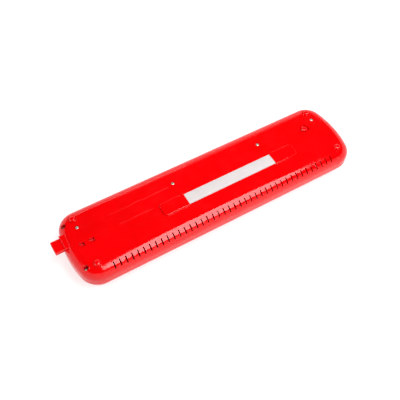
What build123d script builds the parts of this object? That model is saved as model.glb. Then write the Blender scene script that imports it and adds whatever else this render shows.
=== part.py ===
from build123d import *
import math
import os

# A 32-key melodica, in millimetres. It lies on its keys: the back faces up (+Z), the key tops face
# the floor (Z = 0), the key fronts point to +Y, and the blow neck and the bass end are at -X.
# The pieces are drawn about the middle of the body, and save() moves them so that the origin is
# under the middle of the whole, neck included.

# Body
cheek = 23.2
body_width = 110.0
corner_radius = 27.0
end_bow = 11.0
shoulder_radius = 16.0
wall = 2.2
seam_z = 18.0
crown_z = 43.5
foot_height = 2.5
case_draft = 8.0
tongue = 1.2
tongue_height = 2.5
tongue_root = 3.0
case_edge_round = 2.5
tab_thickness = 1.8
tab_width = 14.0
tab_height = 9.0
hook_bump = 1.3
hook_width = 10.0
hook_low = 5.0
hook_height = 2.0
hook_room = 0.3
lip_drop = 0.8
step = 2.0  # a lip, rib or rail's thickness
rail_z = 12.0
fit_gap = 0.2
moving_gap = 0.6
past = 1.0  # how far a cutting tool runs past the face that it cuts

# Keyboard
white_notes = "f g a b c d e f g a b c d e f g a b c".split()
black_shift = {"f": -3.2, "g": 0.0, "a": 3.2, "c": -2.6, "d": 2.6}
white_pitch = 20.4
key_gap = 0.8
key_front = 47.0
black_front = 22.0
key_back = -17.0
black_width = 10.5
black_top_width = 8.6
black_slope = 3.0
white_top_z = 8.2
black_top_z = 1.2
black_foot_z = 9.0
black_hollow_z = 5.0
black_round = 1.2
white_round = 1.5
key_base_z = 17.2
key_wall = 1.5
key_skin = 1.8
key_round = 0.8
lever_width = 8.0
lever_z = 11.5
lever_top_z = 17.9
lever_back = -40.0
rib_width = 4.0
rib_front = 14.0
pivot_y = -23.0
pivot_z = 14.5
axle_radius = 1.5
axle_clearance = 0.05
hub_radius = 3.3
pad_length = 10.0
pad_seat_z = 20.0
pad_seat_gap = 0.05
pad_glue = 0.05

# Wind chest, with one cell for each key
chest_past_keys = 2.2
chest_back = -44.0
chest_front = 23.0
chest_wall = 4.5
chest_z = 22.0
chest_top_z = 35.0
cell_floor_z = 23.6
plate_z = 28.0
plate_thickness = 1.2
gasket_thickness = 1.0
lid_thickness = 2.0
cell_width = 7.5
bass_cell = 46.0
treble_cell = 27.0
valve_width = 5.0
valve_length = 6.5
bracket_width = 1.8
bracket_every = 4
bracket_depth = 10.0
bracket_drop = 4.0

# Reeds, springs and felt
reed_thickness = 0.25
reed_gap = 0.15
reed_base = 5.0
bass_reed = 32.0
reed_start = 10.0
cell_inset = 0.5
plate_fit = 0.3
plate_lap = 2.0
treble_reed = 13.0
bass_reed_width = 4.0
treble_reed_width = 2.6
rivet_radius = 0.7
rivet_head_radius = 1.1
rivet_head = 0.5
spring_thickness = 0.3
spring_width = 3.4
spring_tip = -10.0
spring_foot = 8.0
spring_end = 15.0
felt_thickness = 2.0
felt_z = 22.1
felt_back = 37.0
felt_front = 46.0
stop_rib_y = 42.0
stop_rib = 1.6
stop_flange = 1.5
felt_inset = 2.0

# Screws
thread_radius = 1.25
head_radius = 2.4
head_height = 1.1
head_clearance = 0.3
boss_radius = 3.6
well_radius = 3.3
well_wall = 1.4
well_floor = 2.0
cross_width = 0.7
cross_depth = 0.55
cross_inset = 0.8
head_chamfer = 0.35
small_head = 0.9
small_head_share = 1.9
small_slot = 0.5
small_slot_depth = 0.4
plate_screw_share = 0.8
crown_screw_length = 11.0
shoulder_screw_length = 14.0
lid_screw_length = 9.0
plate_screw_length = 4.5

# Features of the back
slit_count = 41
slit_pitch = 8.58
slit_width = 1.7
slit_length = 9.6
slit_angle = 38.0
end_screw_inset = 6.0
middle_screw_x = (-47.0, 93.0)
crown_screw_y = 23.6
shoulder_screw_inset = 12.5
shoulder_screw_y = 35.0
shoulder_screw_z = 34.0
foot_inset = 27.0
foot_y = 37.6
foot_radius = 4.2
foot_flange_radius = 5.6
foot_flange = 0.9
foot_peg_radius = 2.0
foot_flange_round = 0.4
foot_dome_round = 1.3
foot_pad = 0.1
foot_land = 0.8
peg_room = 0.05
neck_y = 14.0
neck_z = 34.5
neck_width = 19.0
neck_depth = 8.0
neck_wall = 1.7
neck_round = 2.4
neck_reach = 12.0
neck_to_chest = 7.0
duct_width = 8.0
duct_depth = 3.0
duct_wall = 1.5
duct_z = 31.8
duct_into_chest = 3.0
neck_flange = 1.6
neck_gasket_thickness = 1.2
fairing_side = 2.0
fairing_inset = 23.0
fairing_round = 2.0
eyelet_inset = 29.0
eyelet_y = -3.5
eyelet_length = 21.0
eyelet_width = 6.0
eyelet_bar = 7.0
eyelet_bar_thickness = 1.6
eyelet_depth = 4.0
eyelet_floor = 0.9
eyelet_wall = 1.0
eyelet_bar_drop = 0.2

# Hand strap
anchor_height = 2.3
anchor_y = -9.4
anchor_width = 20.0
bass_anchor_x = (-82.0, -44.0)
treble_anchor_x = (96.0, 133.0)
anchor_round = 5.0
anchor_edge = 0.6
anchor_screw_inset = 9.0
anchor_screw_side = 6.0
anchor_skin = 0.8
anchor_screw_share = 0.9
anchor_slot_room = 0.3
strap_width = 17.6
strap_thickness = 1.0
strap_lift = 0.5
strap_tuck = 9.0
strap_slot_gap = 0.15

# Water-release button and valve
button_inset = 47.7
button_y = 14.2
button_radius = 4.3
button_clearance = 0.1
button_proud = 1.7
button_travel = 2.0
button_skin = 1.6
recess_radius = 7.6
recess_depth = 2.4
recess_wall = 1.6
button_wall = 0.8
button_round = 2.6
button_rest = 0.3
stem_socket = 1.4
stem_radius = 1.1
drain_radius = 2.1
disc_radius = 3.0
disc_thickness = 1.0
seal_thickness = 0.9
spring_wire = 0.4
spring_turns = 4

# Worked out from the sizes above
middle_x = neck_reach / 2
feet_z = crown_z + foot_height
inner_crown_z = crown_z - wall
bed_half = white_pitch * len(white_notes) / 2
body_length = 2 * (bed_half + cheek)
chest_end = bed_half + chest_past_keys
crown_screw_x = (end_screw_inset - chest_end, *middle_screw_x, chest_end - end_screw_inset)
shoulder_screw_x = shoulder_screw_inset - body_length / 2
foot_x = body_length / 2 - foot_inset
neck_inner_x = -chest_end - neck_to_chest
fairing_end_x = fairing_inset - body_length / 2
eyelet_x = eyelet_inset - body_length / 2
button_x = body_length / 2 - button_inset
button_top_z = crown_z + button_proud
well_half = bed_half + moving_gap
plate_top_z = plate_z + plate_thickness
lid_z = chest_top_z + gasket_thickness
lid_top_z = lid_z + lid_thickness
chest_middle_y = (chest_front + chest_back) / 2
spring_rivet_y = (spring_foot + spring_end) / 2
cell_back = chest_back + chest_wall
screw_seat_z = crown_z - head_height - head_clearance / 2
button_floor_z = crown_z - recess_depth
button_base_z = lid_top_z + button_travel + button_rest
spring_top_z = button_top_z - button_skin - stem_socket


def block(x, y, z):
    size = [high - low for low, high in (x, y, z)]
    middle = [(high + low) / 2 for low, high in (x, y, z)]
    return Pos(*middle) * Box(*size)


def upright(x, y, z, radius):
    return Pos(x, y, (z[0] + z[1]) / 2) * Cylinder(radius, z[1] - z[0])


def prism(points, x):
    # A closed outline of (y, z) points, drawn out along X.
    face = make_face(Polyline(*[(x[0], y, z) for y, z in points], close=True))
    return extrude(face, amount=x[1] - x[0], dir=(1, 0, 0))


def save(name, *solids):
    shape = solids[0] if len(solids) == 1 else Compound(children=list(solids))
    export_step(Pos(middle_x, 0, 0) * shape, f"parts/{name}.step")


def outline(inset):
    # The plan of the body drawn in by inset: straight sides, bowed ends and round corners.
    half_width = body_width / 2 - inset
    bow_radius = ((body_width / 2) ** 2 + end_bow ** 2) / (2 * end_bow)
    bow_centre = body_length / 2 - bow_radius
    tip = body_length / 2 - inset
    square = bow_centre + math.sqrt((bow_radius - inset) ** 2 - half_width ** 2)
    sides = [
        Line((-square, -half_width), (square, -half_width)),
        ThreePointArc((square, -half_width), (tip, 0), (square, half_width)),
        Line((square, half_width), (-square, half_width)),
        ThreePointArc((-square, half_width), (-tip, 0), (-square, -half_width)),
    ]
    face = make_face(sides)
    return fillet(face.vertices(), corner_radius - inset)


def body_form(inset, bottom):
    # The body's closed form drawn in by inset: an upright wall rolled over into the flat crown.
    form = extrude(Pos(0, 0, bottom) * outline(inset), amount=crown_z - inset - bottom)
    return fillet(form.edges().group_by(Axis.Z)[-1], shoulder_radius - inset)


def case_form(inset, top):
    # The front case's closed form drawn in by inset, up to top: it narrows towards the floor.
    def slice_at(z):
        return Pos(0, 0, z) * outline(inset + case_draft * (1 - z / seam_z))

    return loft([slice_at(inset), slice_at(top)], ruled=True)


def key_layout():
    # From bass to treble: note, colour, span of the front and span between the neighbours behind.
    def edge(place):
        return place * white_pitch - bed_half

    blacks = {}
    for place, note in enumerate(white_notes[:-1]):
        if note in black_shift:
            middle = edge(place + 1) + black_shift[note]
            blacks[place] = (middle - black_width / 2, middle + black_width / 2)
    keys = []
    for place, note in enumerate(white_notes):
        low = edge(place) + key_gap / 2
        high = edge(place + 1) - key_gap / 2
        rear_low = blacks[place - 1][1] + key_gap if place - 1 in blacks else low
        rear_high = blacks[place][0] - key_gap if place in blacks else high
        keys.append((note, "white", (low, high), (rear_low, rear_high)))
        if place in blacks:
            keys.append((note + "_sharp", "black", blacks[place], blacks[place]))
    return keys


keys = key_layout()
lever_x = [(rear[0] + rear[1]) / 2 for note, colour, front, rear in keys]
between_x = [(low + high) / 2 for low, high in zip(lever_x, lever_x[1:])]
bracket_x = between_x[bracket_every - 1::bracket_every]
bracket_x = [-chest_end + bracket_width / 2, *bracket_x, chest_end - bracket_width / 2]


def share(index, bass, treble):
    return bass + (treble - bass) * index / (len(keys) - 1)


def screw(x, y, seat_z, length):
    shank = upright(x, y, (seat_z - length, seat_z), thread_radius)
    head = upright(x, y, (seat_z, seat_z + head_height), head_radius)
    head = chamfer(head.edges().group_by(Axis.Z)[-1], head_chamfer)
    top = seat_z + head_height
    for turn in (45, 135):
        blade = Box(2 * (head_radius - cross_inset), cross_width, 2 * cross_depth)
        head -= Pos(x, y, top) * Rot(Z=turn) * blade
    return shank + head


def crown_bosses():
    return [(x, crown_screw_y) for x in crown_screw_x]


def shoulder_bosses():
    return [(shoulder_screw_x, side * shoulder_screw_y) for side in (-1, 1)]


def feet_places():
    return [(x, y) for x in (-foot_x, foot_x) for y in (-foot_y, foot_y)]


def anchor_screws_places():
    places = []
    for low, high in (bass_anchor_x, treble_anchor_x):
        inward = 1 if low < 0 else -1
        end = low if low < 0 else high
        x = end + inward * anchor_screw_inset
        places += [(x, anchor_y + side * anchor_screw_side) for side in (-1, 1)]
    return places


def slits():
    tools = []
    for index in range(slit_count):
        x = (index - (slit_count - 1) / 2) * slit_pitch
        centre = Pos(x, -body_width / 2 + shoulder_radius, crown_z - shoulder_radius)
        tool = Box(slit_width, slit_length, 2 * (wall + step))
        tools.append(centre * Rot(X=slit_angle) * Pos(0, 0, shoulder_radius - wall / 2) * tool)
    return tools


def neck_section(grow, x, centre_z, width, depth, rounding):
    plan = RectangleRounded(width + 2 * grow, depth + 2 * grow, rounding)
    plane = Plane(origin=(x[0], neck_y, centre_z), x_dir=(0, 1, 0), z_dir=(1, 0, 0))
    return extrude(plane * plan, amount=x[1] - x[0])


def fairing():
    # The ridge over the neck that runs level from the end of the body into the crown.
    half = neck_width / 2 + fairing_side
    side = (neck_y - half, neck_y + half)
    tip = -body_length / 2 + past
    high = neck_z + neck_depth / 2 + wall
    ridge = block((tip, fairing_end_x), side, (neck_z - neck_depth / 2 - step, high))
    edges = ridge.edges().filter_by(Axis.X).group_by(Axis.Z)[-1]
    edges += ridge.edges().filter_by(Axis.Y).group_by(Axis.Z)[-1].sort_by(Axis.X)[:1]
    return fillet(edges, fairing_round)


def back_cover():
    outside = body_form(0, seam_z)
    inside = body_form(wall, seam_z)
    cover = outside - inside
    for x, y in shoulder_bosses():
        well = upright(x, y, (shoulder_screw_z - well_floor, crown_z), well_radius + well_wall)
        cover += well & outside
    cover += upright(button_x, button_y, (button_floor_z - wall, inner_crown_z), recess_radius + recess_wall)
    pocket_x = (eyelet_x - eyelet_length / 2, eyelet_x + eyelet_length / 2)
    pocket_y = (eyelet_y - eyelet_width / 2, eyelet_y + eyelet_width / 2)
    cup_x = (pocket_x[0] - eyelet_wall, pocket_x[1] + eyelet_wall)
    cup_y = (pocket_y[0] - eyelet_wall, pocket_y[1] + eyelet_wall)
    cup_z = crown_z - eyelet_depth
    cover += block(cup_x, cup_y, (cup_z - eyelet_floor, inner_crown_z))
    rib_x = (-bed_half + felt_inset, bed_half - felt_inset)
    rib_y = (stop_rib_y - stop_rib / 2, stop_rib_y + stop_rib / 2)
    flange_z = felt_z + felt_thickness
    cover += block(rib_x, rib_y, (flange_z, inner_crown_z)) & outside
    cover += block(rib_x, (felt_back, felt_front), (flange_z, flange_z + stop_flange))
    cover += fairing() - inside
    for x, y in feet_places():
        cover += upright(x, y, (inner_crown_z - past, crown_z + foot_pad), foot_flange_radius + foot_land)
        cover -= upright(x, y, (seam_z, feet_z), foot_peg_radius + peg_room)
    for x, y in crown_bosses():
        cover -= upright(x, y, (seam_z, crown_z), thread_radius + fit_gap)
        cover -= upright(x, y, (screw_seat_z, feet_z), head_radius + head_clearance)
    for x, y in shoulder_bosses():
        cover -= upright(x, y, (seam_z, crown_z), thread_radius + fit_gap)
        cover -= upright(x, y, (shoulder_screw_z, feet_z), well_radius)
    for x, y in anchor_screws_places():
        cover -= upright(x, y, (inner_crown_z - 1, crown_z), thread_radius + fit_gap)
    cover -= upright(button_x, button_y, (seam_z, feet_z), button_radius + button_clearance)
    cover -= upright(button_x, button_y, (button_floor_z, feet_z), recess_radius)
    pocket = block(pocket_x, pocket_y, (cup_z, feet_z))
    bar_x = (eyelet_x - eyelet_bar / 2, eyelet_x + eyelet_bar / 2)
    bar_top = crown_z - eyelet_bar_drop
    pocket -= block(bar_x, pocket_y, (bar_top - eyelet_bar_thickness, bar_top))
    cover -= pocket
    neck_x = (-body_length / 2 - neck_reach, neck_inner_x + past)
    cover -= neck_section(fit_gap / 2, neck_x, neck_z, neck_width, neck_depth, neck_round)
    hook_x = body_length / 2 - wall - fit_gap - tongue / 2 + hook_bump + fit_gap
    hook_y = hook_width / 2 + hook_room
    hook_z = (seam_z + hook_low - hook_room, seam_z + hook_low + hook_height + hook_room)
    cover -= block((hook_x - hook_bump - step, hook_x), (-hook_y, hook_y), hook_z)
    return cover - slits()


def front_case():
    outside = case_form(0, seam_z)
    outside = fillet(outside.edges().group_by(Axis.Z)[0], case_edge_round)
    tongue_inset = wall + fit_gap + tongue
    case = outside - case_form(wall, seam_z - tongue_root)
    case -= extrude(Pos(0, 0, seam_z - tongue_root) * outline(tongue_inset), amount=tongue_root)
    ring = outline(wall + fit_gap) - outline(tongue_inset)
    case += extrude(Pos(0, 0, seam_z) * ring, amount=tongue_height)
    panel_y = key_back - moving_gap
    rail_y = key_front + 1.0
    case += block((-well_half - step, -well_half), (panel_y, body_width), (0, seam_z)) & outside
    case += block((well_half, well_half + step), (panel_y, body_width), (0, seam_z)) & outside
    rail = block((-well_half, well_half), (rail_y, body_width / 2 - wall), (rail_z, rail_z + step))
    case += rail & outside
    case -= block((-well_half, well_half), (panel_y, rail_y), (-past, seam_z + past))
    case -= block((-well_half, well_half), (rail_y - past, body_width), (-past, rail_z))
    lip_x = (-well_half - step, well_half + step)
    case += block(lip_x, (panel_y - step, panel_y), (0, white_top_z - lip_drop))
    for x, y in shoulder_bosses():
        case += upright(x, y, (wall / 2, seam_z), boss_radius) & outside
        case += upright(x, y, (seam_z - past, shoulder_screw_z - well_floor), boss_radius)
        case -= upright(x, y, (seam_z, shoulder_screw_z), thread_radius)
    tab_x = body_length / 2 - wall - fit_gap - tongue / 2
    tab_z = (seam_z - past, seam_z + tab_height)
    case += block((tab_x - tab_thickness, tab_x), (-tab_width / 2, tab_width / 2), tab_z)
    hook_z = (seam_z + hook_low, seam_z + hook_low + hook_height)
    return case + block((tab_x - tongue / 2, tab_x + hook_bump), (-hook_width / 2, hook_width / 2), hook_z)


def wind_chest():
    chest = block((-chest_end, chest_end), (chest_back, chest_front), (chest_z, chest_top_z))
    inside_x = (-chest_end + chest_wall, chest_end - chest_wall)
    inside_y = (chest_back + chest_wall, chest_front - chest_wall)
    chest -= block(inside_x, inside_y, (plate_z, chest_top_z + 1))
    seat_front = lever_back + pad_length + 1.5
    chest += block((-chest_end, chest_end), (chest_back, seat_front), (pad_seat_z, chest_z))
    for x, y in crown_bosses():
        chest += upright(x, y, (chest_z, inner_crown_z), boss_radius)
        chest -= upright(x, y, (chest_z + 6, inner_crown_z + 1), thread_radius)
    bracket_y = (pivot_y - bracket_depth / 2, pivot_y + bracket_depth / 2)
    for x in bracket_x:
        side = (x - bracket_width / 2, x + bracket_width / 2)
        chest += block(side, bracket_y, (pivot_z - bracket_drop, chest_z))
    axle_hole = Cylinder(axle_radius + axle_clearance, 3 * chest_end)
    chest -= Pos(0, pivot_y, pivot_z) * Rot(Y=90) * axle_hole
    cuts = []
    for index, x in enumerate(lever_x):
        length = share(index, bass_cell, treble_cell)
        side = (x - cell_width / 2, x + cell_width / 2)
        start = cell_back + cell_inset
        cuts.append(block(side, (start, start + length), (cell_floor_z, plate_z + past)))
        valve_side = (x - valve_width / 2, x + valve_width / 2)
        pad_middle = lever_back + pad_length / 2
        valve_span = (pad_middle - valve_length / 2, pad_middle + valve_length / 2)
        cuts.append(block(valve_side, valve_span, (pad_seat_z - 1, plate_z)))
        cuts.append(upright(x, spring_rivet_y, (chest_z, chest_z + 1.4), rivet_radius))
    chest -= cuts
    for x, y in lid_screw_places():
        chest -= upright(x, y, (chest_top_z - 8, chest_top_z + 1), thread_radius)
    for x, y in plate_screw_places():
        chest -= upright(x, y, (plate_z - 4, plate_z + past), thread_radius * plate_screw_share)
    window_x = (-chest_end - 1, -chest_end + chest_wall + 1)
    chest -= neck_section(duct_wall + 0.05, window_x, duct_z, duct_width, duct_depth, duct_wall)
    return chest


def lid_screw_places():
    # Down the middle of the chest's long walls, clear of the crown bosses, and of its end walls.
    inset = chest_wall / 2
    along = [chest_end * part for part in (-0.8, -0.5, -0.1, 0.2, 0.65)]
    places = [(x, y) for x in along for y in (chest_back + inset, chest_front - inset)]
    return places + [(side * (chest_end - inset), chest_middle_y) for side in (-1, 1)]


def plate_screw_places():
    return [(x, y) for x in between_x[1::bracket_every] for y in (cell_back + 2.4, cell_back + 24)]


def plate_split():
    return between_x[len(keys) // 2 - 1]


def reed_span(index):
    start = cell_back + reed_start
    return start, start + share(index, bass_reed, treble_reed)


def reed_plate(low, high, first, last):
    front = cell_back + cell_inset + share(first, bass_cell, treble_cell) + plate_lap
    plate = block((low, high), (cell_back + plate_fit, front), (plate_z, plate_top_z))
    cuts = []
    for index in range(first, last):
        start, end = reed_span(index)
        half = share(index, bass_reed_width, treble_reed_width) / 2 + reed_gap
        x = lever_x[index]
        cuts.append(block((x - half, x + half), (start, end), (plate_z - 1, plate_top_z + 1)))
        rivet_y = end + reed_base / 2
        cuts.append(upright(x, rivet_y, (plate_z - 1, plate_top_z + 1), rivet_radius))
    for x, y in plate_screw_places():
        if low < x < high:
            hole_radius = thread_radius * plate_screw_share + fit_gap / 2
            cuts.append(upright(x, y, (plate_z - past, plate_top_z + past), hole_radius))
    return plate - cuts


def reeds():
    tongues = []
    for index, x in enumerate(lever_x):
        start, end = reed_span(index)
        half = share(index, bass_reed_width, treble_reed_width) / 2
        height = (plate_top_z, plate_top_z + reed_thickness)
        tongue = block((x - half, x + half), (start + reed_gap, end + reed_base), height)
        tongue -= upright(x, end + reed_base / 2, (plate_z, plate_top_z + 1), rivet_radius)
        tongues.append(tongue)
    return tongues


def reed_rivets():
    rivets = []
    for index, x in enumerate(lever_x):
        y = reed_span(index)[1] + reed_base / 2
        top = plate_top_z + reed_thickness
        shank = upright(x, y, (plate_z, top), rivet_radius)
        rivets.append(shank + upright(x, y, (top, top + rivet_head), rivet_head_radius))
    return rivets


def small_screw(x, y, seat_z, length, radius):
    shank = upright(x, y, (seat_z - length, seat_z), radius)
    head = upright(x, y, (seat_z, seat_z + small_head), radius * small_head_share)
    head -= Pos(x, y, seat_z + small_head) * Box(radius * 3, small_slot, 2 * small_slot_depth)
    return shank + head


def chest_ring(z):
    ring = block((-chest_end, chest_end), (chest_back, chest_front), z)
    inside_x = (-chest_end + chest_wall, chest_end - chest_wall)
    inside_y = (chest_back + chest_wall, chest_front - chest_wall)
    return ring - block(inside_x, inside_y, (z[0] - 1, z[1] + 1))


def clear_of_bosses(shape):
    for x, y in crown_bosses():
        shape -= upright(x, y, (chest_z, inner_crown_z), boss_radius + fit_gap)
    return shape


def chest_gasket():
    ring = clear_of_bosses(chest_ring((chest_top_z, lid_z)))
    for x, y in lid_screw_places():
        ring -= upright(x, y, (chest_top_z - 1, lid_z + 1), thread_radius + 0.1)
    return ring


def chest_lid():
    lid = block((-chest_end, chest_end), (chest_back, chest_front), (lid_z, lid_top_z))
    lid = fillet(lid.edges().filter_by(Axis.Z), 1.5)
    lid = clear_of_bosses(lid)
    for x, y in lid_screw_places():
        lid -= upright(x, y, (lid_z - 1, lid_top_z + 1), thread_radius + 0.1)
    return lid - upright(button_x, button_y, (lid_z - 1, lid_top_z + 1), drain_radius)


def blow_neck():
    tip = -body_length / 2 - neck_reach
    flange_x = -chest_end - neck_gasket_thickness
    duct_x = (neck_inner_x, -chest_end + duct_into_chest)
    neck = neck_section(0, (tip, neck_inner_x + 2), neck_z, neck_width, neck_depth, neck_round)
    neck = fillet(neck.edges().group_by(Axis.X)[0], 1.0)
    neck += neck_section(duct_wall, duct_x, duct_z, duct_width, duct_depth, duct_wall)
    flange_span = (flange_x - neck_flange, flange_x)
    neck += neck_section(duct_wall + step, flange_span, duct_z, duct_width, duct_depth, step)
    bore_x = (tip - 1, neck_inner_x)
    neck -= neck_section(-neck_wall, bore_x, neck_z, neck_width, neck_depth, neck_round - neck_wall)
    return neck - neck_section(0, (duct_x[0] - 2, duct_x[1] + 1), duct_z, duct_width, duct_depth, 0.8)


def neck_gasket():
    x = (-chest_end - neck_gasket_thickness, -chest_end)
    ring = neck_section(duct_wall + step, x, duct_z, duct_width, duct_depth, step)
    return ring - neck_section(duct_wall + 0.05, x, duct_z, duct_width, duct_depth, duct_wall)


def key_lever(rear):
    middle = (rear[0] + rear[1]) / 2
    side = (middle - lever_width / 2, middle + lever_width / 2)
    lever = block(side, (lever_back, key_back + key_wall), (lever_z, lever_top_z))
    rib = (middle - rib_width / 2, middle + rib_width / 2)
    lever += block(rib, (key_back, rib_front), (white_top_z + key_skin, lever_top_z))
    lever += Pos(middle, pivot_y, pivot_z) * Rot(Y=90) * Cylinder(hub_radius, lever_width)
    bore = Cylinder(axle_radius + axle_clearance, 2 * lever_width)
    return lever - Pos(middle, pivot_y, pivot_z) * Rot(Y=90) * bore


def white_key(front, rear):
    def plan(inset):
        wide = (front[1] - front[0] - 2 * inset, key_front - black_front - 2 * inset)
        narrow = (rear[1] - rear[0] - 2 * inset, black_front - key_back)
        face = Pos(sum(front) / 2, (key_front + black_front) / 2) * Rectangle(*wide)
        return face + Pos(sum(rear) / 2, (black_front + key_back) / 2 + inset) * Rectangle(*narrow)

    face = plan(0)
    face = fillet(face.vertices().group_by(Axis.Y)[-1], white_round)
    cap = extrude(Pos(0, 0, white_top_z) * face, amount=key_base_z - white_top_z)
    cap = fillet(cap.edges().group_by(Axis.Z)[0], key_round)
    hollow_z = white_top_z + key_skin
    return cap - extrude(Pos(0, 0, hollow_z) * plan(key_wall), amount=key_base_z - hollow_z)


def black_key(front):
    middle = sum(front) / 2
    length = black_front - key_gap - key_back
    foot = Pos(middle, key_back + length / 2, black_foot_z) * Rectangle(black_width, length)
    top_length = length - black_slope
    top = Pos(middle, key_back + top_length / 2, black_top_z) * Rectangle(black_top_width, top_length)
    cap = loft([foot, top], ruled=True)
    cap = fillet(cap.edges().group_by(Axis.Z)[0], black_round)
    cap += block(front, (key_back, key_back + length), (black_foot_z, key_base_z))
    inside = (front[0] + key_wall, front[1] - key_wall)
    inside_y = (key_back + key_wall, key_back + length - key_wall)
    return cap - block(inside, inside_y, (black_hollow_z, key_base_z))


def key_pad(rear):
    middle = sum(rear) / 2
    side = (middle - lever_width / 2, middle + lever_width / 2)
    height = (lever_top_z + pad_glue, pad_seat_z - pad_seat_gap)
    return block(side, (lever_back, lever_back + pad_length), height)


def key_springs():
    leaves = []
    top = lever_top_z + pad_seat_gap
    low = chest_z - spring_thickness
    points = [(spring_end, chest_z), (spring_foot, chest_z), (spring_tip, top + spring_thickness)]
    points += [(spring_tip, top), (spring_foot, low), (spring_end, low)]
    for x in lever_x:
        leaf = prism(points, (x - spring_width / 2, x + spring_width / 2))
        leaves.append(leaf - upright(x, spring_rivet_y, (low - 1, chest_z + 1), rivet_radius))
    return leaves


def key_spring_rivets():
    low = chest_z - spring_thickness
    rivets = []
    for x in lever_x:
        shank = upright(x, spring_rivet_y, (low, chest_z + 1.4), rivet_radius)
        rivets.append(shank + upright(x, spring_rivet_y, (low - rivet_head, low), rivet_head_radius))
    return rivets


def back_foot(x, y):
    base_z = crown_z + foot_pad
    foot = upright(x, y, (base_z, base_z + foot_flange), foot_flange_radius)
    foot = fillet(foot.edges().group_by(Axis.Z)[-1], foot_flange_round)
    dome = upright(x, y, (base_z, feet_z), foot_radius)
    foot += fillet(dome.edges().group_by(Axis.Z)[-1], foot_dome_round)
    return foot + upright(x, y, (inner_crown_z - step, base_z), foot_peg_radius)


def strap_anchor(span, inward):
    y = (anchor_y - anchor_width / 2, anchor_y + anchor_width / 2)
    cap = block(span, y, (crown_z, crown_z + anchor_height))
    outer = cap.edges().filter_by(Axis.Z).sort_by(Axis.X)
    cap = fillet(outer[:2] if inward > 0 else outer[2:], anchor_round)
    cap = fillet(cap.edges().group_by(Axis.Z)[-1], anchor_edge)
    mouth = span[1] if inward > 0 else span[0]
    slot_x = sorted((mouth + inward * past, mouth - inward * (strap_tuck + past)))
    slot_half = strap_width / 2 + anchor_slot_room
    slot_y = (anchor_y - slot_half, anchor_y + slot_half)
    low = crown_z + strap_lift - strap_slot_gap
    cap -= block(slot_x, slot_y, (low, low + strap_thickness + 2 * strap_slot_gap))
    for x, y in anchor_screws_places():
        if span[0] < x < span[1]:
            hole_z = (crown_z - past, crown_z + anchor_height - anchor_skin)
            cap -= upright(x, y, hole_z, thread_radius * anchor_screw_share)
    return cap


def anchor_screws():
    screws = []
    for x, y in anchor_screws_places():
        shank_z = (inner_crown_z, crown_z + anchor_height - small_head)
        shank = upright(x, y, shank_z, thread_radius * anchor_screw_share)
        screws.append(shank + upright(x, y, (inner_crown_z - small_head, inner_crown_z), head_radius * 0.8))
    return screws


def hand_strap():
    x = (bass_anchor_x[1] - strap_tuck, treble_anchor_x[0] + strap_tuck)
    y = (anchor_y - strap_width / 2, anchor_y + strap_width / 2)
    low = crown_z + strap_lift
    return block(x, y, (low, low + strap_thickness))


def water_button():
    cap = upright(button_x, button_y, (button_base_z, button_top_z), button_radius)
    cap = fillet(cap.edges().group_by(Axis.Z)[-1], button_round)
    cap -= upright(button_x, button_y, (button_base_z, spring_top_z), button_radius - button_wall)
    return cap - upright(button_x, button_y, (spring_top_z - past, spring_top_z + stem_socket), stem_radius)


def water_valve_stem():
    disc_top = lid_z - seal_thickness
    stem = upright(button_x, button_y, (disc_top, spring_top_z + stem_socket), stem_radius)
    return stem + upright(button_x, button_y, (disc_top - disc_thickness, disc_top), disc_radius)


def water_valve_seal():
    z = (lid_z - seal_thickness, lid_z - pad_seat_gap)
    ring = upright(button_x, button_y, z, disc_radius)
    return ring - upright(button_x, button_y, z, stem_radius)


def water_button_spring():
    radius = button_radius - button_wall - spring_wire - fit_gap
    height = spring_top_z - lid_top_z - 2 * spring_wire
    path = Helix(pitch=height / spring_turns, height=height, radius=radius)
    section = Plane(origin=path @ 0, z_dir=path % 0) * Circle(spring_wire)
    return Pos(button_x, button_y, lid_top_z + spring_wire) * sweep(section, path)


def make_keys():
    for number, (note, colour, front, rear) in enumerate(keys, start=1):
        cap = white_key(front, rear) if colour == "white" else black_key(front)
        save(f"key_{number:02d}_{note}", cap + key_lever(rear), key_pad(rear))


os.makedirs("parts", exist_ok=True)
save("back_cover", back_cover())
save("front_case", front_case())
save("wind_chest", wind_chest())
save("chest_gasket", chest_gasket())
save("chest_lid", chest_lid())
lid_screws = [small_screw(x, y, lid_top_z, lid_screw_length, thread_radius) for x, y in lid_screw_places()]
save("chest_lid_screws", *lid_screws)
bass_x = (-chest_end + chest_wall + plate_fit, plate_split() - plate_fit)
save("bass_reed_plate", reed_plate(*bass_x, 0, len(keys) // 2))
treble_x = (plate_split() + plate_fit, chest_end - chest_wall - plate_fit)
save("treble_reed_plate", reed_plate(*treble_x, len(keys) // 2, len(keys)))
save("reeds", *reeds())
save("reed_rivets", *reed_rivets())
plate_screw_radius = thread_radius * plate_screw_share
plate_screws = [
    small_screw(x, y, plate_top_z, plate_screw_length, plate_screw_radius) for x, y in plate_screw_places()
]
save("reed_plate_screws", *plate_screws)
save("blow_neck", blow_neck())
save("neck_gasket", neck_gasket())
save("key_axle", Pos(0, pivot_y, pivot_z) * Rot(Y=90) * Cylinder(axle_radius, 2 * chest_end))
save("key_springs", *key_springs())
save("key_spring_rivets", *key_spring_rivets())
felt_x = (-bed_half + felt_inset, bed_half - felt_inset)
save("key_stop_felt", block(felt_x, (felt_back, felt_front), (felt_z, felt_z + felt_thickness)))
save("back_feet", *[back_foot(x, y) for x, y in feet_places()])
save("crown_screws", *[screw(x, y, screw_seat_z, crown_screw_length) for x, y in crown_bosses()])
shoulder = [screw(x, y, shoulder_screw_z, shoulder_screw_length) for x, y in shoulder_bosses()]
save("shoulder_screws", *shoulder)
save("strap_anchor_bass", strap_anchor(bass_anchor_x, 1))
save("strap_anchor_treble", strap_anchor(treble_anchor_x, -1))
save("anchor_screws", *anchor_screws())
save("hand_strap", hand_strap())
save("water_button", water_button())
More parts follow.
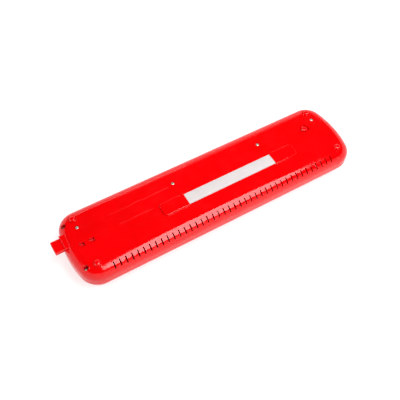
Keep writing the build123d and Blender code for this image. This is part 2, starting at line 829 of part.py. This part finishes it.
save("water_valve_stem", water_valve_stem())
save("water_valve_seal", water_valve_seal())
save("water_button_spring", water_button_spring())
make_keys()
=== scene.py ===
import bpy
import math
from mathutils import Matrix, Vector


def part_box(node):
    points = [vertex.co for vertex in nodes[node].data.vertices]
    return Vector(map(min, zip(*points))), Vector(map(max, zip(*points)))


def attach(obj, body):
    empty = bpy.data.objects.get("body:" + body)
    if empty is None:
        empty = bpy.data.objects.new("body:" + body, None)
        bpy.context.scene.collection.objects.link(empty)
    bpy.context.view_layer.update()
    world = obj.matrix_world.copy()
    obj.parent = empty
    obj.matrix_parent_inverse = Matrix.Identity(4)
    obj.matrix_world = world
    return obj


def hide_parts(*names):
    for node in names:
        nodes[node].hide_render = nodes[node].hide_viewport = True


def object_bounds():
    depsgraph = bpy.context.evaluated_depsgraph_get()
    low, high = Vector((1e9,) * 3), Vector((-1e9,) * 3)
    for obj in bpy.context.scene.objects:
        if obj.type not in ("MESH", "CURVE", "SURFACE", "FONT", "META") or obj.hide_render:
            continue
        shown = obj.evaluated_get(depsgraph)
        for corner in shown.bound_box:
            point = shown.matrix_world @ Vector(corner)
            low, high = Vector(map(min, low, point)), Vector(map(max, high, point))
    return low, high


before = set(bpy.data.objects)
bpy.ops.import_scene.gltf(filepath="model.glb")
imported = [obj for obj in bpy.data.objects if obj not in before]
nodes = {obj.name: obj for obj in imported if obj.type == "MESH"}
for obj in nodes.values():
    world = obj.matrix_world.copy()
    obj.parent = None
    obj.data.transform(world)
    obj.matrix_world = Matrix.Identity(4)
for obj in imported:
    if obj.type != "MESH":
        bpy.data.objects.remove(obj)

# A melodica lying on its keys, back up. The CAD parts get their finishes here, and the feet, the
# screws that show and the hand strap are made again in finer detail. Lengths are in metres.
for name in ("Cube", "Light", "Camera"):   # a new Blender file's own objects
    if name in bpy.data.objects:
        bpy.data.objects.remove(bpy.data.objects[name])
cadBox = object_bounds()
mm = 0.001
print("frame loaded:", len(nodes), "nodes")


# the camera, above the blow neck end and on the slit side
viewpoint = {"place": (-0.2835, -0.416, 0.736), "turn": (34.42, -1.674, -30.846),   # degrees
             "lens": 56.07, "sensor": 36}
bpy.ops.object.camera_add(location=viewpoint["place"],
                          rotation=[math.radians(a) for a in viewpoint["turn"]])
camera = bpy.context.object
camera.data.lens = viewpoint["lens"]
camera.data.sensor_width = viewpoint["sensor"]
bpy.context.scene.camera = camera
bpy.context.scene.view_settings.view_transform = "Standard"
print("camera placed")


def linearColour(hexColour):
    # an sRGB hex value as the linear colour that a socket takes
    channels = [int(hexColour[i:i + 2], 16) / 255 for i in (1, 3, 5)]
    return [c / 12.92 if c <= 0.04045 else ((c + 0.055) / 1.055) ** 2.4 for c in channels] + [1.0]


def addNode(tree, kind, values=None, links=None, out=0, **settings):
    # one node with its settings, socket values and links; returns the output that is asked for
    node = tree.nodes.new(kind)
    for key, value in settings.items():
        setattr(node, key, value)
    for socket, value in (values or {}).items():
        node.inputs[socket].default_value = value
    for socket, source in (links or {}).items():
        tree.links.new(source, node.inputs[socket])
    return node.outputs[out] if node.outputs else node


def newTree(name):
    material = bpy.data.materials.new(name)
    material.use_nodes = True
    material.node_tree.nodes.clear()
    return material, material.node_tree


mixFirst, mixSecond, mixResult = 6, 7, 2          # a Mix node's sockets for colours
noiseMiddle = {"From Min": 0.3, "From Max": 0.7}  # noise sits near a half; this spreads it out


# Red ABS, injection moulded in a polished tool. It looks hard and wet, an even deep red with clear
# reflections. Hands dull it in patches, and faint raised lines run along the crown.
redAbs = {
    "colour": "#d80004", "deepColour": "#cd0002",
    "flowSize": 45 * mm, "flowDetail": 3,   # slow colour drift from the melt
    "rubSize": 18 * mm, "rubDetail": 5, "rubEdges": (0.4, 0.65),
    # real hairline scratches are 0.05 mm wide and would not show, so these are coarser
    "scratchSize": 0.5 * mm, "scratchDetail": 2,
    "scratchStretch": (0.05, 1, 1), "scratchShare": 0.25,
    "wearEdges": (0.1, 1.1), "roughness": (0.07, 0.15),
    "peelSize": 2.5 * mm, "peelDetail": 2, "peelDepth": 0.012 * mm,   # the slight ripple of gloss
    "lineWidth": 1.1 * mm, "lineHeight": 0.11 * mm, "linesAbove": 42 * mm,
    "wobble": 3.0 * mm, "wobbleSize": 14 * mm, "wobbleDetail": 1,
    "lines": [(20 * mm, -180 * mm, -50 * mm), (0 * mm, -180 * mm, -85 * mm)],   # y, first x, last x
    "ior": 1.52, "specular": 0.37,
}


def makeRedAbs(spec):
    material, tree = newTree("abs_moulded_polished_red")
    coords = addNode(tree, "ShaderNodeTexCoord", out="Object")
    point = addNode(tree, "ShaderNodeMapping", None, {"Vector": coords})
    drift = addNode(tree, "ShaderNodeTexNoise",
                    {"Scale": 1 / spec["flowSize"], "Detail": spec["flowDetail"]},
                    {"Vector": point}, out="Fac")
    drift = addNode(tree, "ShaderNodeMapRange", noiseMiddle, {"Value": drift})
    colour = addNode(tree, "ShaderNodeMix",
                     {mixFirst: linearColour(spec["colour"]),
                      mixSecond: linearColour(spec["deepColour"])},
                     {"Factor": drift}, out=mixResult, data_type="RGBA")

    rub = addNode(tree, "ShaderNodeTexNoise",
                  {"Scale": 1 / spec["rubSize"], "Detail": spec["rubDetail"]},
                  {"Vector": point}, out="Fac")
    rub = addNode(tree, "ShaderNodeMapRange",
                  {"From Min": spec["rubEdges"][0], "From Max": spec["rubEdges"][1]},
                  {"Value": rub})
    grain = addNode(tree, "ShaderNodeMapping", {"Scale": spec["scratchStretch"]},
                    {"Vector": coords})
    scratches = addNode(tree, "ShaderNodeTexNoise",
                        {"Scale": 1 / spec["scratchSize"], "Detail": spec["scratchDetail"]},
                        {"Vector": grain}, out="Fac")
    wear = addNode(tree, "ShaderNodeMath", {1: spec["scratchShare"]}, {0: scratches, 2: rub},
                   operation="MULTIPLY_ADD")
    roughness = addNode(tree, "ShaderNodeMapRange",
                        {"From Min": spec["wearEdges"][0], "From Max": spec["wearEdges"][1],
                         "To Min": spec["roughness"][0], "To Max": spec["roughness"][1]},
                        {"Value": wear})

    peel = addNode(tree, "ShaderNodeTexNoise",
                   {"Scale": 1 / spec["peelSize"], "Detail": spec["peelDetail"]},
                   {"Vector": point}, out="Fac")
    peel = addNode(tree, "ShaderNodeBump", {"Distance": spec["peelDepth"], "Strength": 1.0},
                   {"Height": peel})

    # each line is a low ridge at its own y, which wanders a little and stays on the crown
    place = addNode(tree, "ShaderNodeSeparateXYZ", None, {"Vector": point}).node.outputs
    wander = addNode(tree, "ShaderNodeTexNoise",
                     {"Scale": 1 / spec["wobbleSize"], "Detail": spec["wobbleDetail"]},
                     {"Vector": point}, out="Fac")
    wander = addNode(tree, "ShaderNodeMath", {1: 0.5}, {0: wander}, operation="SUBTRACT")
    wander = addNode(tree, "ShaderNodeMath", {1: spec["wobble"]}, {0: wander},
                     operation="MULTIPLY")
    raised = None
    for y, start, end in spec["lines"]:
        away = addNode(tree, "ShaderNodeMath", {1: y}, {0: place["Y"]}, operation="SUBTRACT")
        away = addNode(tree, "ShaderNodeMath", None, {0: away, 1: wander}, operation="ADD")
        away = addNode(tree, "ShaderNodeMath", None, {0: away}, operation="ABSOLUTE")
        away = addNode(tree, "ShaderNodeMath", {1: spec["lineWidth"]}, {0: away},
                       operation="DIVIDE")
        away = addNode(tree, "ShaderNodeMath", {1: 1.0}, {0: away}, operation="MINIMUM")
        line = addNode(tree, "ShaderNodeMath", {0: 1.0}, {1: away}, operation="SUBTRACT")
        for axis, test, limit in (("X", "GREATER_THAN", start), ("X", "LESS_THAN", end),
                                  ("Z", "GREATER_THAN", spec["linesAbove"])):
            gate = addNode(tree, "ShaderNodeMath", {1: limit}, {0: place[axis]}, operation=test)
            line = addNode(tree, "ShaderNodeMath", None, {0: line, 1: gate},
                           operation="MULTIPLY")
        if raised:
            line = addNode(tree, "ShaderNodeMath", None, {0: raised, 1: line}, operation="ADD")
        raised = line
    normal = addNode(tree, "ShaderNodeBump", {"Distance": spec["lineHeight"], "Strength": 1.0},
                     {"Height": raised, "Normal": peel})
    shader = addNode(tree, "ShaderNodeBsdfPrincipled",
                     {"IOR": spec["ior"], "Specular IOR Level": spec["specular"]},
                     {"Base Color": colour, "Roughness": roughness, "Normal": normal})
    addNode(tree, "ShaderNodeOutputMaterial", None, {"Surface": shader})
    return material


# The other moulded plastics. Each has the grain of its tool, and shinier and duller patches.
plainPlastics = {
    # ivory ABS from a polished tool: smooth and bright, with a broad clean shine
    "key_white": {"name": "abs_moulded_ivory", "colour": "#f4f1e8", "second": "#ece7da",
                  "roughness": (0.12, 0.24), "grain": 0.8 * mm, "depth": 0.006 * mm,
                  "ior": 1.53},
    # black ABS from a satin tool: a deep black with a softened shine
    "key_black": {"name": "abs_moulded_black", "colour": "#0c0c0e", "second": "#17171a",
                  "roughness": (0.2, 0.36), "grain": 0.5 * mm, "depth": 0.02 * mm,
                  "ior": 1.53},
    # grey ABS from a sparked tool: matt, with a fine even texture
    "chest_abs": {"name": "abs_moulded_grey", "colour": "#6e7378", "second": "#62676c",
                  "roughness": (0.34, 0.55), "grain": 0.7 * mm, "depth": 0.03 * mm,
                  "ior": 1.52},
    # pressed silicone: milky and soft, with a dull waxy shine
    "silicone": {"name": "silicone_pressed_cream", "colour": "#d9d4c8", "second": "#cdc7b9",
                 "roughness": (0.42, 0.6), "grain": 0.9 * mm, "depth": 0.01 * mm,
                 "ior": 1.41},
}
plasticPatches = {"tintSize": 30 * mm, "tintDetail": 4, "shineSize": 9 * mm, "shineDetail": 5,
                  "grainDetail": 2}


def makePlastic(spec, patches):
    material, tree = newTree(spec["name"])
    coords = addNode(tree, "ShaderNodeTexCoord", out="Object")
    point = addNode(tree, "ShaderNodeMapping", None, {"Vector": coords})
    tint = addNode(tree, "ShaderNodeTexNoise",
                   {"Scale": 1 / patches["tintSize"], "Detail": patches["tintDetail"]},
                   {"Vector": point}, out="Fac")
    tint = addNode(tree, "ShaderNodeMapRange", noiseMiddle, {"Value": tint})
    colour = addNode(tree, "ShaderNodeMix",
                     {mixFirst: linearColour(spec["colour"]),
                      mixSecond: linearColour(spec["second"])},
                     {"Factor": tint}, out=mixResult, data_type="RGBA")
    shine = addNode(tree, "ShaderNodeTexNoise",
                    {"Scale": 1 / patches["shineSize"], "Detail": patches["shineDetail"]},
                    {"Vector": point}, out="Fac")
    roughness = addNode(tree, "ShaderNodeMapRange",
                        {**noiseMiddle, "To Min": spec["roughness"][0],
                         "To Max": spec["roughness"][1]}, {"Value": shine})
    grain = addNode(tree, "ShaderNodeTexNoise",
                    {"Scale": 1 / spec["grain"], "Detail": patches["grainDetail"]},
                    {"Vector": point}, out="Fac")
    normal = addNode(tree, "ShaderNodeBump", {"Distance": spec["depth"], "Strength": 1.0},
                     {"Height": grain})
    shader = addNode(tree, "ShaderNodeBsdfPrincipled", {"IOR": spec["ior"]},
                     {"Base Color": colour, "Roughness": roughness, "Normal": normal})
    addNode(tree, "ShaderNodeOutputMaterial", None, {"Surface": shader})
    return material


# The metals. A small number in stretch draws the pattern out along that axis, as rolling or
# grinding does. Real lines are finer than these and would not show.
metals = {
    # zinc plate on steel: pale grey with a greenish cast and a soft mottled shine
    "steel": {"name": "steel_zinc_plated", "colour": "#c6cabd", "second": "#a9aea2",
              "roughness": (0.34, 0.5), "stretch": (1, 1, 1), "size": 0.6 * mm,
              "depth": 0.01 * mm},
    # rolled brass: warm yellow, with a shine drawn out along the fine roll lines
    "plate_brass": {"name": "brass_rolled", "colour": "#d0ab5c", "second": "#b48d40",
                    "roughness": (0.22, 0.4), "stretch": (0.04, 1, 1), "size": 0.4 * mm,
                    "depth": 0.008 * mm},
    # ground phosphor bronze: brown gold, bright, with grinding lines along each reed
    "reed_bronze": {"name": "phosphor_bronze_ground", "colour": "#c99a62",
                    "second": "#a97a45", "roughness": (0.2, 0.34), "stretch": (1, 0.05, 1),
                    "size": 0.3 * mm, "depth": 0.006 * mm},
    # phosphor bronze strip: browner and duller than the reeds
    "spring_bronze": {"name": "phosphor_bronze_strip", "colour": "#bd8a52",
                      "second": "#9b6e3c", "roughness": (0.24, 0.42),
                      "stretch": (1, 0.05, 1), "size": 0.4 * mm, "depth": 0.008 * mm},
}
metalGrain = {"detail": 4, "shineTimes": 2, "shineDetail": 3}   # shine patches are twice as wide


def makeMetal(spec, grain):
    material, tree = newTree(spec["name"])
    coords = addNode(tree, "ShaderNodeTexCoord", out="Object")
    point = addNode(tree, "ShaderNodeMapping", {"Scale": spec["stretch"]}, {"Vector": coords})
    pattern = addNode(tree, "ShaderNodeTexNoise",
                      {"Scale": 1 / spec["size"], "Detail": grain["detail"]},
                      {"Vector": point}, out="Fac")
    tint = addNode(tree, "ShaderNodeMapRange", noiseMiddle, {"Value": pattern})
    colour = addNode(tree, "ShaderNodeMix",
                     {mixFirst: linearColour(spec["colour"]),
                      mixSecond: linearColour(spec["second"])},
                     {"Factor": tint}, out=mixResult, data_type="RGBA")
    shine = addNode(tree, "ShaderNodeTexNoise",
                    {"Scale": 1 / (grain["shineTimes"] * spec["size"]),
                     "Detail": grain["shineDetail"]}, {"Vector": point}, out="Fac")
    roughness = addNode(tree, "ShaderNodeMapRange",
                        {**noiseMiddle, "To Min": spec["roughness"][0],
                         "To Max": spec["roughness"][1]}, {"Value": shine})
    normal = addNode(tree, "ShaderNodeBump", {"Distance": spec["depth"], "Strength": 1.0},
                     {"Height": pattern})
    shader = addNode(tree, "ShaderNodeBsdfPrincipled", {"Metallic": 1.0},
                     {"Base Color": colour, "Roughness": roughness, "Normal": normal})
    addNode(tree, "ShaderNodeOutputMaterial", None, {"Surface": shader})
    return material


# Wool felt, needled: it gives no shine, only a soft pale bloom at its edges, and its fibres lie
# every way. The fibres are drawn at 0.35 mm, because real ones of 0.03 mm would not show.
keyFelt = {"colour": "#5d5f63", "second": "#85868a", "fibre": 0.35 * mm, "fibreDetail": 6,
           "depth": 0.25 * mm, "roughness": 0.95, "sheen": 0.4, "sheenRoughness": 0.5}


def makeKeyFelt(spec):
    material, tree = newTree("wool_felt_needled")
    coords = addNode(tree, "ShaderNodeTexCoord", out="Object")
    point = addNode(tree, "ShaderNodeMapping", None, {"Vector": coords})
    fibres = addNode(tree, "ShaderNodeTexNoise",
                     {"Scale": 1 / spec["fibre"], "Detail": spec["fibreDetail"]},
                     {"Vector": point}, out="Fac")
    tint = addNode(tree, "ShaderNodeMapRange", noiseMiddle, {"Value": fibres})
    colour = addNode(tree, "ShaderNodeMix",
                     {mixFirst: linearColour(spec["colour"]),
                      mixSecond: linearColour(spec["second"])},
                     {"Factor": tint}, out=mixResult, data_type="RGBA")
    normal = addNode(tree, "ShaderNodeBump", {"Distance": spec["depth"], "Strength": 1.0},
                     {"Height": fibres})
    shader = addNode(tree, "ShaderNodeBsdfPrincipled",
                     {"Roughness": spec["roughness"], "Sheen Weight": spec["sheen"],
                      "Sheen Roughness": spec["sheenRoughness"]},
                     {"Base Color": colour, "Normal": normal})
    addNode(tree, "ShaderNodeOutputMaterial", None, {"Surface": shader})
    return material


# White vinyl coated over a plain weave: a clean white with a soft plastic shine, under which the
# threads just show.
# The hollows between threads get painted shade, a greyer colour that soil also brings in patches. A
# real thread is about 0.5 mm; 0.9 mm shows.
strapCloth = {"colour": "#c0b9b9", "shadeAndSoilColour": "#b7afaf",
              "thread": 0.9 * mm, "threadDepth": 0.06 * mm, "unevenness": 0.4, "waveDetail": 1.0,
              "bandLength": 0.314,   # a Wave node's band at scale 1, in metres
              "soilSize": 25 * mm, "soilDetail": 4, "weaveShare": -0.6, "shadeEdges": (0.0, 0.6),
              "roughness": (0.38, 0.55), "ior": 1.5}


def makeStrapCloth(spec):
    material, tree = newTree("vinyl_coated_weave_white")
    coords = addNode(tree, "ShaderNodeTexCoord", out="Object")
    point = addNode(tree, "ShaderNodeMapping", None, {"Vector": coords})
    threads = [addNode(tree, "ShaderNodeTexWave",
                       {"Scale": spec["bandLength"] / spec["thread"],
                        "Distortion": spec["unevenness"], "Detail": spec["waveDetail"]},
                       {"Vector": point}, out="Fac", bands_direction=axis) for axis in "XY"]
    weave = addNode(tree, "ShaderNodeMath", None, {0: threads[0], 1: threads[1]},
                    operation="MULTIPLY")
    soil = addNode(tree, "ShaderNodeTexNoise",
                   {"Scale": 1 / spec["soilSize"], "Detail": spec["soilDetail"]},
                   {"Vector": point}, out="Fac")
    # painted shade: where the weave is low (the hollows) the mix leans to the grey colour, and soil
    # noise adds real dirt to the same mix
    hollowShadeAndSoil = addNode(tree, "ShaderNodeMath", {1: spec["weaveShare"]}, {0: weave, 2: soil},
                    operation="MULTIPLY_ADD")
    hollowShadeAndSoil = addNode(tree, "ShaderNodeMapRange",
                    {"From Min": spec["shadeEdges"][0], "From Max": spec["shadeEdges"][1]},
                    {"Value": hollowShadeAndSoil})
    colour = addNode(tree, "ShaderNodeMix",
                     {mixFirst: linearColour(spec["colour"]),
                      mixSecond: linearColour(spec["shadeAndSoilColour"])},
                     {"Factor": hollowShadeAndSoil}, out=mixResult, data_type="RGBA")
    roughness = addNode(tree, "ShaderNodeMapRange",
                        {**noiseMiddle, "To Min": spec["roughness"][0],
                         "To Max": spec["roughness"][1]}, {"Value": soil})
    normal = addNode(tree, "ShaderNodeBump", {"Distance": spec["threadDepth"], "Strength": 1.0},
                     {"Height": weave})
    shader = addNode(tree, "ShaderNodeBsdfPrincipled", {"IOR": spec["ior"]},
                     {"Base Color": colour, "Roughness": roughness, "Normal": normal})
    addNode(tree, "ShaderNodeOutputMaterial", None, {"Surface": shader})
    return material


finishes = {slot: makePlastic(spec, plasticPatches) for slot, spec in plainPlastics.items()}
finishes.update({slot: makeMetal(spec, metalGrain) for slot, spec in metals.items()})
finishes["red_abs"] = makeRedAbs(redAbs)
finishes["felt"] = makeKeyFelt(keyFelt)
finishes["strap_vinyl"] = makeStrapCloth(strapCloth)
for node in nodes.values():
    for place in node.material_slots:
        slotName = place.material.name.split(".")[0]
        if slotName in finishes:
            place.material = finishes[slotName]
print("materials made:", len(finishes))


# shaping tools that the new pieces share
nearlyLevel = 0.9     # a face is a top or an underside when its normal's z passes this
nearlyUpright = 0.1   # and a side when it is under this


def clearSelection():
    if bpy.context.object and bpy.context.object.mode != "OBJECT":
        bpy.ops.object.mode_set(mode="OBJECT")
    bpy.ops.object.select_all(action="DESELECT")


def pickFaces(piece, rule):
    # selects the faces that the rule takes, and leaves the piece in edit mode
    bpy.ops.object.mode_set(mode="EDIT")
    bpy.ops.mesh.select_mode(type="FACE")
    bpy.ops.mesh.select_all(action="DESELECT")
    bpy.ops.object.mode_set(mode="OBJECT")
    for face in piece.data.polygons:
        face.select = bool(rule(face))
    bpy.ops.object.mode_set(mode="EDIT")


def ringSteps(steps):
    # each step insets the chosen face by its first number and lifts it by its second
    for inward, lift in steps:
        bpy.ops.mesh.inset(thickness=inward, depth=lift)


def turnedPost(name, radius, height, sides, topSteps, bottomSteps):
    # a round piece standing on its z axis with its foot at z 0, stepped above and below
    clearSelection()
    bpy.ops.mesh.primitive_cylinder_add(vertices=sides, radius=radius, depth=height,
                                        location=(0, 0, height / 2))
    piece = bpy.context.object
    piece.name = name
    bpy.ops.object.transform_apply(location=True, rotation=True, scale=True)
    pickFaces(piece, lambda face: face.normal.z > nearlyLevel)
    ringSteps(topSteps)
    pickFaces(piece, lambda face: face.normal.z < -nearlyLevel)
    ringSteps(bottomSteps)
    bpy.ops.object.mode_set(mode="OBJECT")
    return piece


def copiesAt(model, name, places):
    # one mesh per copy, moved to its place, then joined as the one piece that stands for the node
    copies = []
    for place in places:
        twin = model.copy()
        twin.data = model.data.copy()
        bpy.context.collection.objects.link(twin)
        twin.location = place
        copies.append(twin)
    clearSelection()
    for twin in copies:
        twin.select_set(True)
    bpy.context.view_layer.objects.active = copies[0]
    bpy.ops.object.transform_apply(location=True, rotation=True, scale=True)
    bpy.ops.object.join()
    joined = bpy.context.object
    joined.name = name
    joined.data.name = name
    return joined


def finishPiece(piece, slotName, angle):
    # normals out, edges sharper than the angle kept crisp, and the piece put on the body
    clearSelection()
    piece.select_set(True)
    bpy.context.view_layer.objects.active = piece
    bpy.ops.object.mode_set(mode="EDIT")
    bpy.ops.mesh.select_all(action="SELECT")
    bpy.ops.mesh.normals_make_consistent(inside=False)
    bpy.ops.object.mode_set(mode="OBJECT")
    bpy.ops.object.shade_smooth_by_angle(angle=math.radians(angle))
    piece.data.materials.clear()
    piece.data.materials.append(finishes[slotName])
    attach(piece, "body")


# the four domed feet on the crown, each with a ribbed base and a peg below
footShape = {
    "radius": 5.35 * mm, "flange": 0.75 * mm, "base": 43.6 * mm, "boxEdge": 5.6 * mm,
    "ribs": 20, "ribOut": 0.22 * mm, "ribZone": 0.98, "crispAngle": 35,
    # a chamfer, a flat, a groove, the neck, and then the dome in five rings
    "topSteps": [(0.15 * mm, 0.15 * mm), (0.55 * mm, 0), (0.12 * mm, -0.22 * mm),
                 (0.28 * mm, 0), (0.08 * mm, 1.00 * mm), (0.20 * mm, 0.60 * mm),
                 (0.45 * mm, 0.48 * mm), (0.75 * mm, 0.36 * mm), (0.95 * mm, 0.18 * mm),
                 (0.90 * mm, 0.05 * mm)],
    "pegSteps": [(3.3 * mm, 0), (0.05 * mm, 4.2 * mm)],
}
low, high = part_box("back_feet")
footX = [low.x + footShape["boxEdge"], high.x - footShape["boxEdge"]]
footY = [low.y + footShape["boxEdge"], high.y - footShape["boxEdge"]]
foot = turnedPost("foot_pattern", footShape["radius"], footShape["flange"],
                  2 * footShape["ribs"], footShape["topSteps"], footShape["pegSteps"])
ribAngle = math.pi / footShape["ribs"]
rimRadius = footShape["ribZone"] * footShape["radius"]   # only the flange's sides lie past this


def isRib(face):
    # every other face round the flange
    onRim = abs(face.normal.z) < nearlyUpright and face.center.xy.length > rimRadius
    return onRim and round(math.atan2(face.center.y, face.center.x) / ribAngle - 0.5) % 2


pickFaces(foot, isRib)
bpy.ops.mesh.extrude_faces_move(TRANSFORM_OT_shrink_fatten={"value": footShape["ribOut"]})
bpy.ops.object.mode_set(mode="OBJECT")
feet = copiesAt(foot, "domed_feet", [(x, y, footShape["base"]) for x in footX for y in footY])
bpy.data.objects.remove(foot)
finishPiece(feet, "red_abs", footShape["crispAngle"])
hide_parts("back_feet")
print("feet made")


# screws with a domed head and a cross recess
screwShape = {
    "radius": 2.4 * mm, "sides": 40, "headTop": 1.1 * mm, "crispAngle": 30,
    "dome": [(0.12 * mm, 0.22 * mm), (0.30 * mm, 0.22 * mm), (0.45 * mm, 0.17 * mm),
             (0.50 * mm, 0.10 * mm), (0.45 * mm, 0.04 * mm)],
    "shankIn": 1.15 * mm, "shankTaper": 0.02 * mm,
    "crossTurns": (45, 135), "reach": 3.0 * mm, "blade": 0.62 * mm, "recess": 0.75 * mm,
    "bladeTaper": 0.62,
}
screwGroups = {   # x and y in millimetres; the rim is the straight side of the head
    "crown_screws": {"name": "crown_pan_screws", "rim": 0.35 * mm,
                     "places": [(-184, 23.6), (-41, 23.6), (99, 23.6), (196, 23.6)]},
    "shoulder_screws": {"name": "shoulder_pan_screws", "rim": 2.0 * mm,   # tall, to show in a well
                        "places": [(-198.5, -35), (-198.5, 35)]},
}


def makeScrew(name, spec, shank, rim):
    screw = turnedPost(name, spec["radius"], rim, spec["sides"], spec["dome"],
                       [(spec["shankIn"], 0), (spec["shankTaper"], shank)])
    top = max(v.co.z for v in screw.data.vertices)
    for turn in spec["crossTurns"]:   # two tapered blades cut the cross
        clearSelection()
        bpy.ops.mesh.primitive_cube_add(size=1, location=(0, 0, top),
                                        rotation=(0, 0, math.radians(turn)))
        blade = bpy.context.object
        blade.scale = (spec["reach"], spec["blade"], 2 * spec["recess"])
        bpy.ops.object.transform_apply(location=True, rotation=True, scale=True)
        pickFaces(blade, lambda face: face.normal.z < -nearlyLevel)
        bpy.ops.transform.resize(value=(spec["bladeTaper"], spec["bladeTaper"], 1),
                                 center_override=(0, 0, 0))
        bpy.ops.object.mode_set(mode="OBJECT")
        cut = screw.modifiers.new("cross", "BOOLEAN")
        cut.operation = "DIFFERENCE"
        cut.object = blade
        clearSelection()
        screw.select_set(True)
        bpy.context.view_layer.objects.active = screw
        bpy.ops.object.modifier_apply(modifier="cross")
        bpy.data.objects.remove(blade)
    return screw


for nodeName, group in screwGroups.items():
    low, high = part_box(nodeName)
    headLow = high.z - screwShape["headTop"]
    screw = makeScrew("screw_pattern", screwShape, headLow - low.z, group["rim"])
    screws = copiesAt(screw, group["name"],
                      [(x * mm, y * mm, headLow) for x, y in group["places"]])
    bpy.data.objects.remove(screw)
    finishPiece(screws, "steel", screwShape["crispAngle"])
    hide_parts(nodeName)
print("screws made")


# the hand strap: flat, coated, with a pressed line along each edge, stretched between its anchors
strapShape = {
    "columns": 110, "rows": 24, "thickShare": 0.8,
    "edgeLine": 1.3 * mm, "lineHalf": 0.4 * mm, "lineDepth": 0.12 * mm,
    "crownShare": 0.3, "crown": 0.10 * mm,
    "edgeRound": 0.2 * mm, "edgeSegments": 2, "edgeAngle": 60, "crispAngle": 40,
}
low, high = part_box("hand_strap")
strapLength, strapWidth = high.x - low.x, high.y - low.y
middle = ((low.x + high.x) / 2, (low.y + high.y) / 2, (low.z + high.z) / 2)
clearSelection()
bpy.ops.mesh.primitive_grid_add(x_subdivisions=strapShape["columns"],
                                y_subdivisions=strapShape["rows"], size=1, location=middle)
strap = bpy.context.object
strap.name = "hand_strap_webbing"
strap.scale = (strapLength, strapWidth, 1)
bpy.ops.object.transform_apply(location=True, rotation=True, scale=True)
lineAway = strapWidth / 2 - strapShape["edgeLine"]
pickFaces(strap, lambda face: abs(abs(face.center.y - middle[1]) - lineAway)
          < strapShape["lineHalf"])
bpy.ops.transform.translate(value=(0, 0, -strapShape["lineDepth"]))
pickFaces(strap, lambda face: abs(face.center.y - middle[1])
          < strapShape["crownShare"] * strapWidth)
bpy.ops.transform.translate(value=(0, 0, strapShape["crown"]))
bpy.ops.object.mode_set(mode="OBJECT")
thick = strap.modifiers.new("thickness", "SOLIDIFY")
thick.thickness = (high.z - low.z) * strapShape["thickShare"]
thick.offset = 0
bpy.ops.object.modifier_apply(modifier="thickness")
soften = strap.modifiers.new("soft_edge", "BEVEL")
soften.width = strapShape["edgeRound"]
soften.segments = strapShape["edgeSegments"]
soften.limit_method = "ANGLE"
soften.angle_limit = math.radians(strapShape["edgeAngle"])
bpy.ops.object.modifier_apply(modifier="soft_edge")
finishPiece(strap, "strap_vinyl", strapShape["crispAngle"])
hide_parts("hand_strap")
print("strap made")


# the stage: painted board underfoot and a low paper wall all round, matt, and near white when lit
floorShape = {"size": 7.0, "drop": 0.3 * mm, "colour": "#b0b0b0", "roughness": 0.9,
              "specular": 0.1, "glow": 0.65}
backdropShape = {"radius": 3.0, "height": 1.5, "sides": 96, "colour": "#e8e8e8",
                 "roughness": 0.95, "specular": 0.1, "glow": 0.5}
clearSelection()
bpy.ops.mesh.primitive_plane_add(size=floorShape["size"],
                                 location=(0, 0, cadBox[0].z - floorShape["drop"]))
floor = bpy.context.object
floor.name = "floor"
clearSelection()
bpy.ops.mesh.primitive_cylinder_add(
    vertices=backdropShape["sides"], radius=backdropShape["radius"],
    depth=backdropShape["height"], end_fill_type="NOTHING",
    location=(0, 0, floor.location.z + backdropShape["height"] / 2))
backdrop = bpy.context.object
backdrop.name = "backdrop"
for piece, spec, finishName in ((floor, floorShape, "floor_pale_board"),
                                (backdrop, backdropShape, "backdrop_pale_paper")):
    material, tree = newTree(finishName)
    shader = addNode(tree, "ShaderNodeBsdfPrincipled",
                     {"Base Color": linearColour(spec["colour"]),
                      "Roughness": spec["roughness"], "Specular IOR Level": spec["specular"],
                      "Emission Color": (1, 1, 1, 1), "Emission Strength": spec["glow"]})
    addNode(tree, "ShaderNodeOutputMaterial", None, {"Surface": shader})
    piece.data.materials.append(material)
print("stage made")


# a dim world, and soft area lights that each turn to face a point
worldGlow = 0.04
world = bpy.context.scene.world or bpy.data.worlds.new("studio")
bpy.context.scene.world = world
world.use_nodes = True
world.node_tree.nodes["Background"].inputs["Color"].default_value = (1, 1, 1, 1)
world.node_tree.nodes["Background"].inputs["Strength"].default_value = worldGlow

softboxes = {   # shape, place, point faced, width, height, power in watts
    "near_box": ("ELLIPSE", (0.34, -0.56, 1.1), (0.34, -0.56, 0), 0.78, 1.7, 26),
    "far_strip": ("RECTANGLE", (0.1, 1.3, 0.95), (0.1, 0, 0.05), 0.8, 0.12, 1.2),
    "far_panel": ("RECTANGLE", (0.95, 1.3, 1.0), (0.95, 0, 0.05), 1.5, 0.9, 2.6),
    "corner_box": ("RECTANGLE", (-1.6, 0.25, 1.4), (0, 0, 0), 0.45, 0.8, 15),
}
for name, (outline, place, target, width, height, power) in softboxes.items():
    bpy.ops.object.light_add(type="AREA", location=place)
    light = bpy.context.object
    light.name = name
    light.data.shape = outline
    light.data.size = width
    light.data.size_y = height
    light.data.energy = power
    gaze = (light.location - Vector(target)).to_track_quat("Z", "Y")
    light.rotation_euler = gaze.to_euler()
print("lights set")
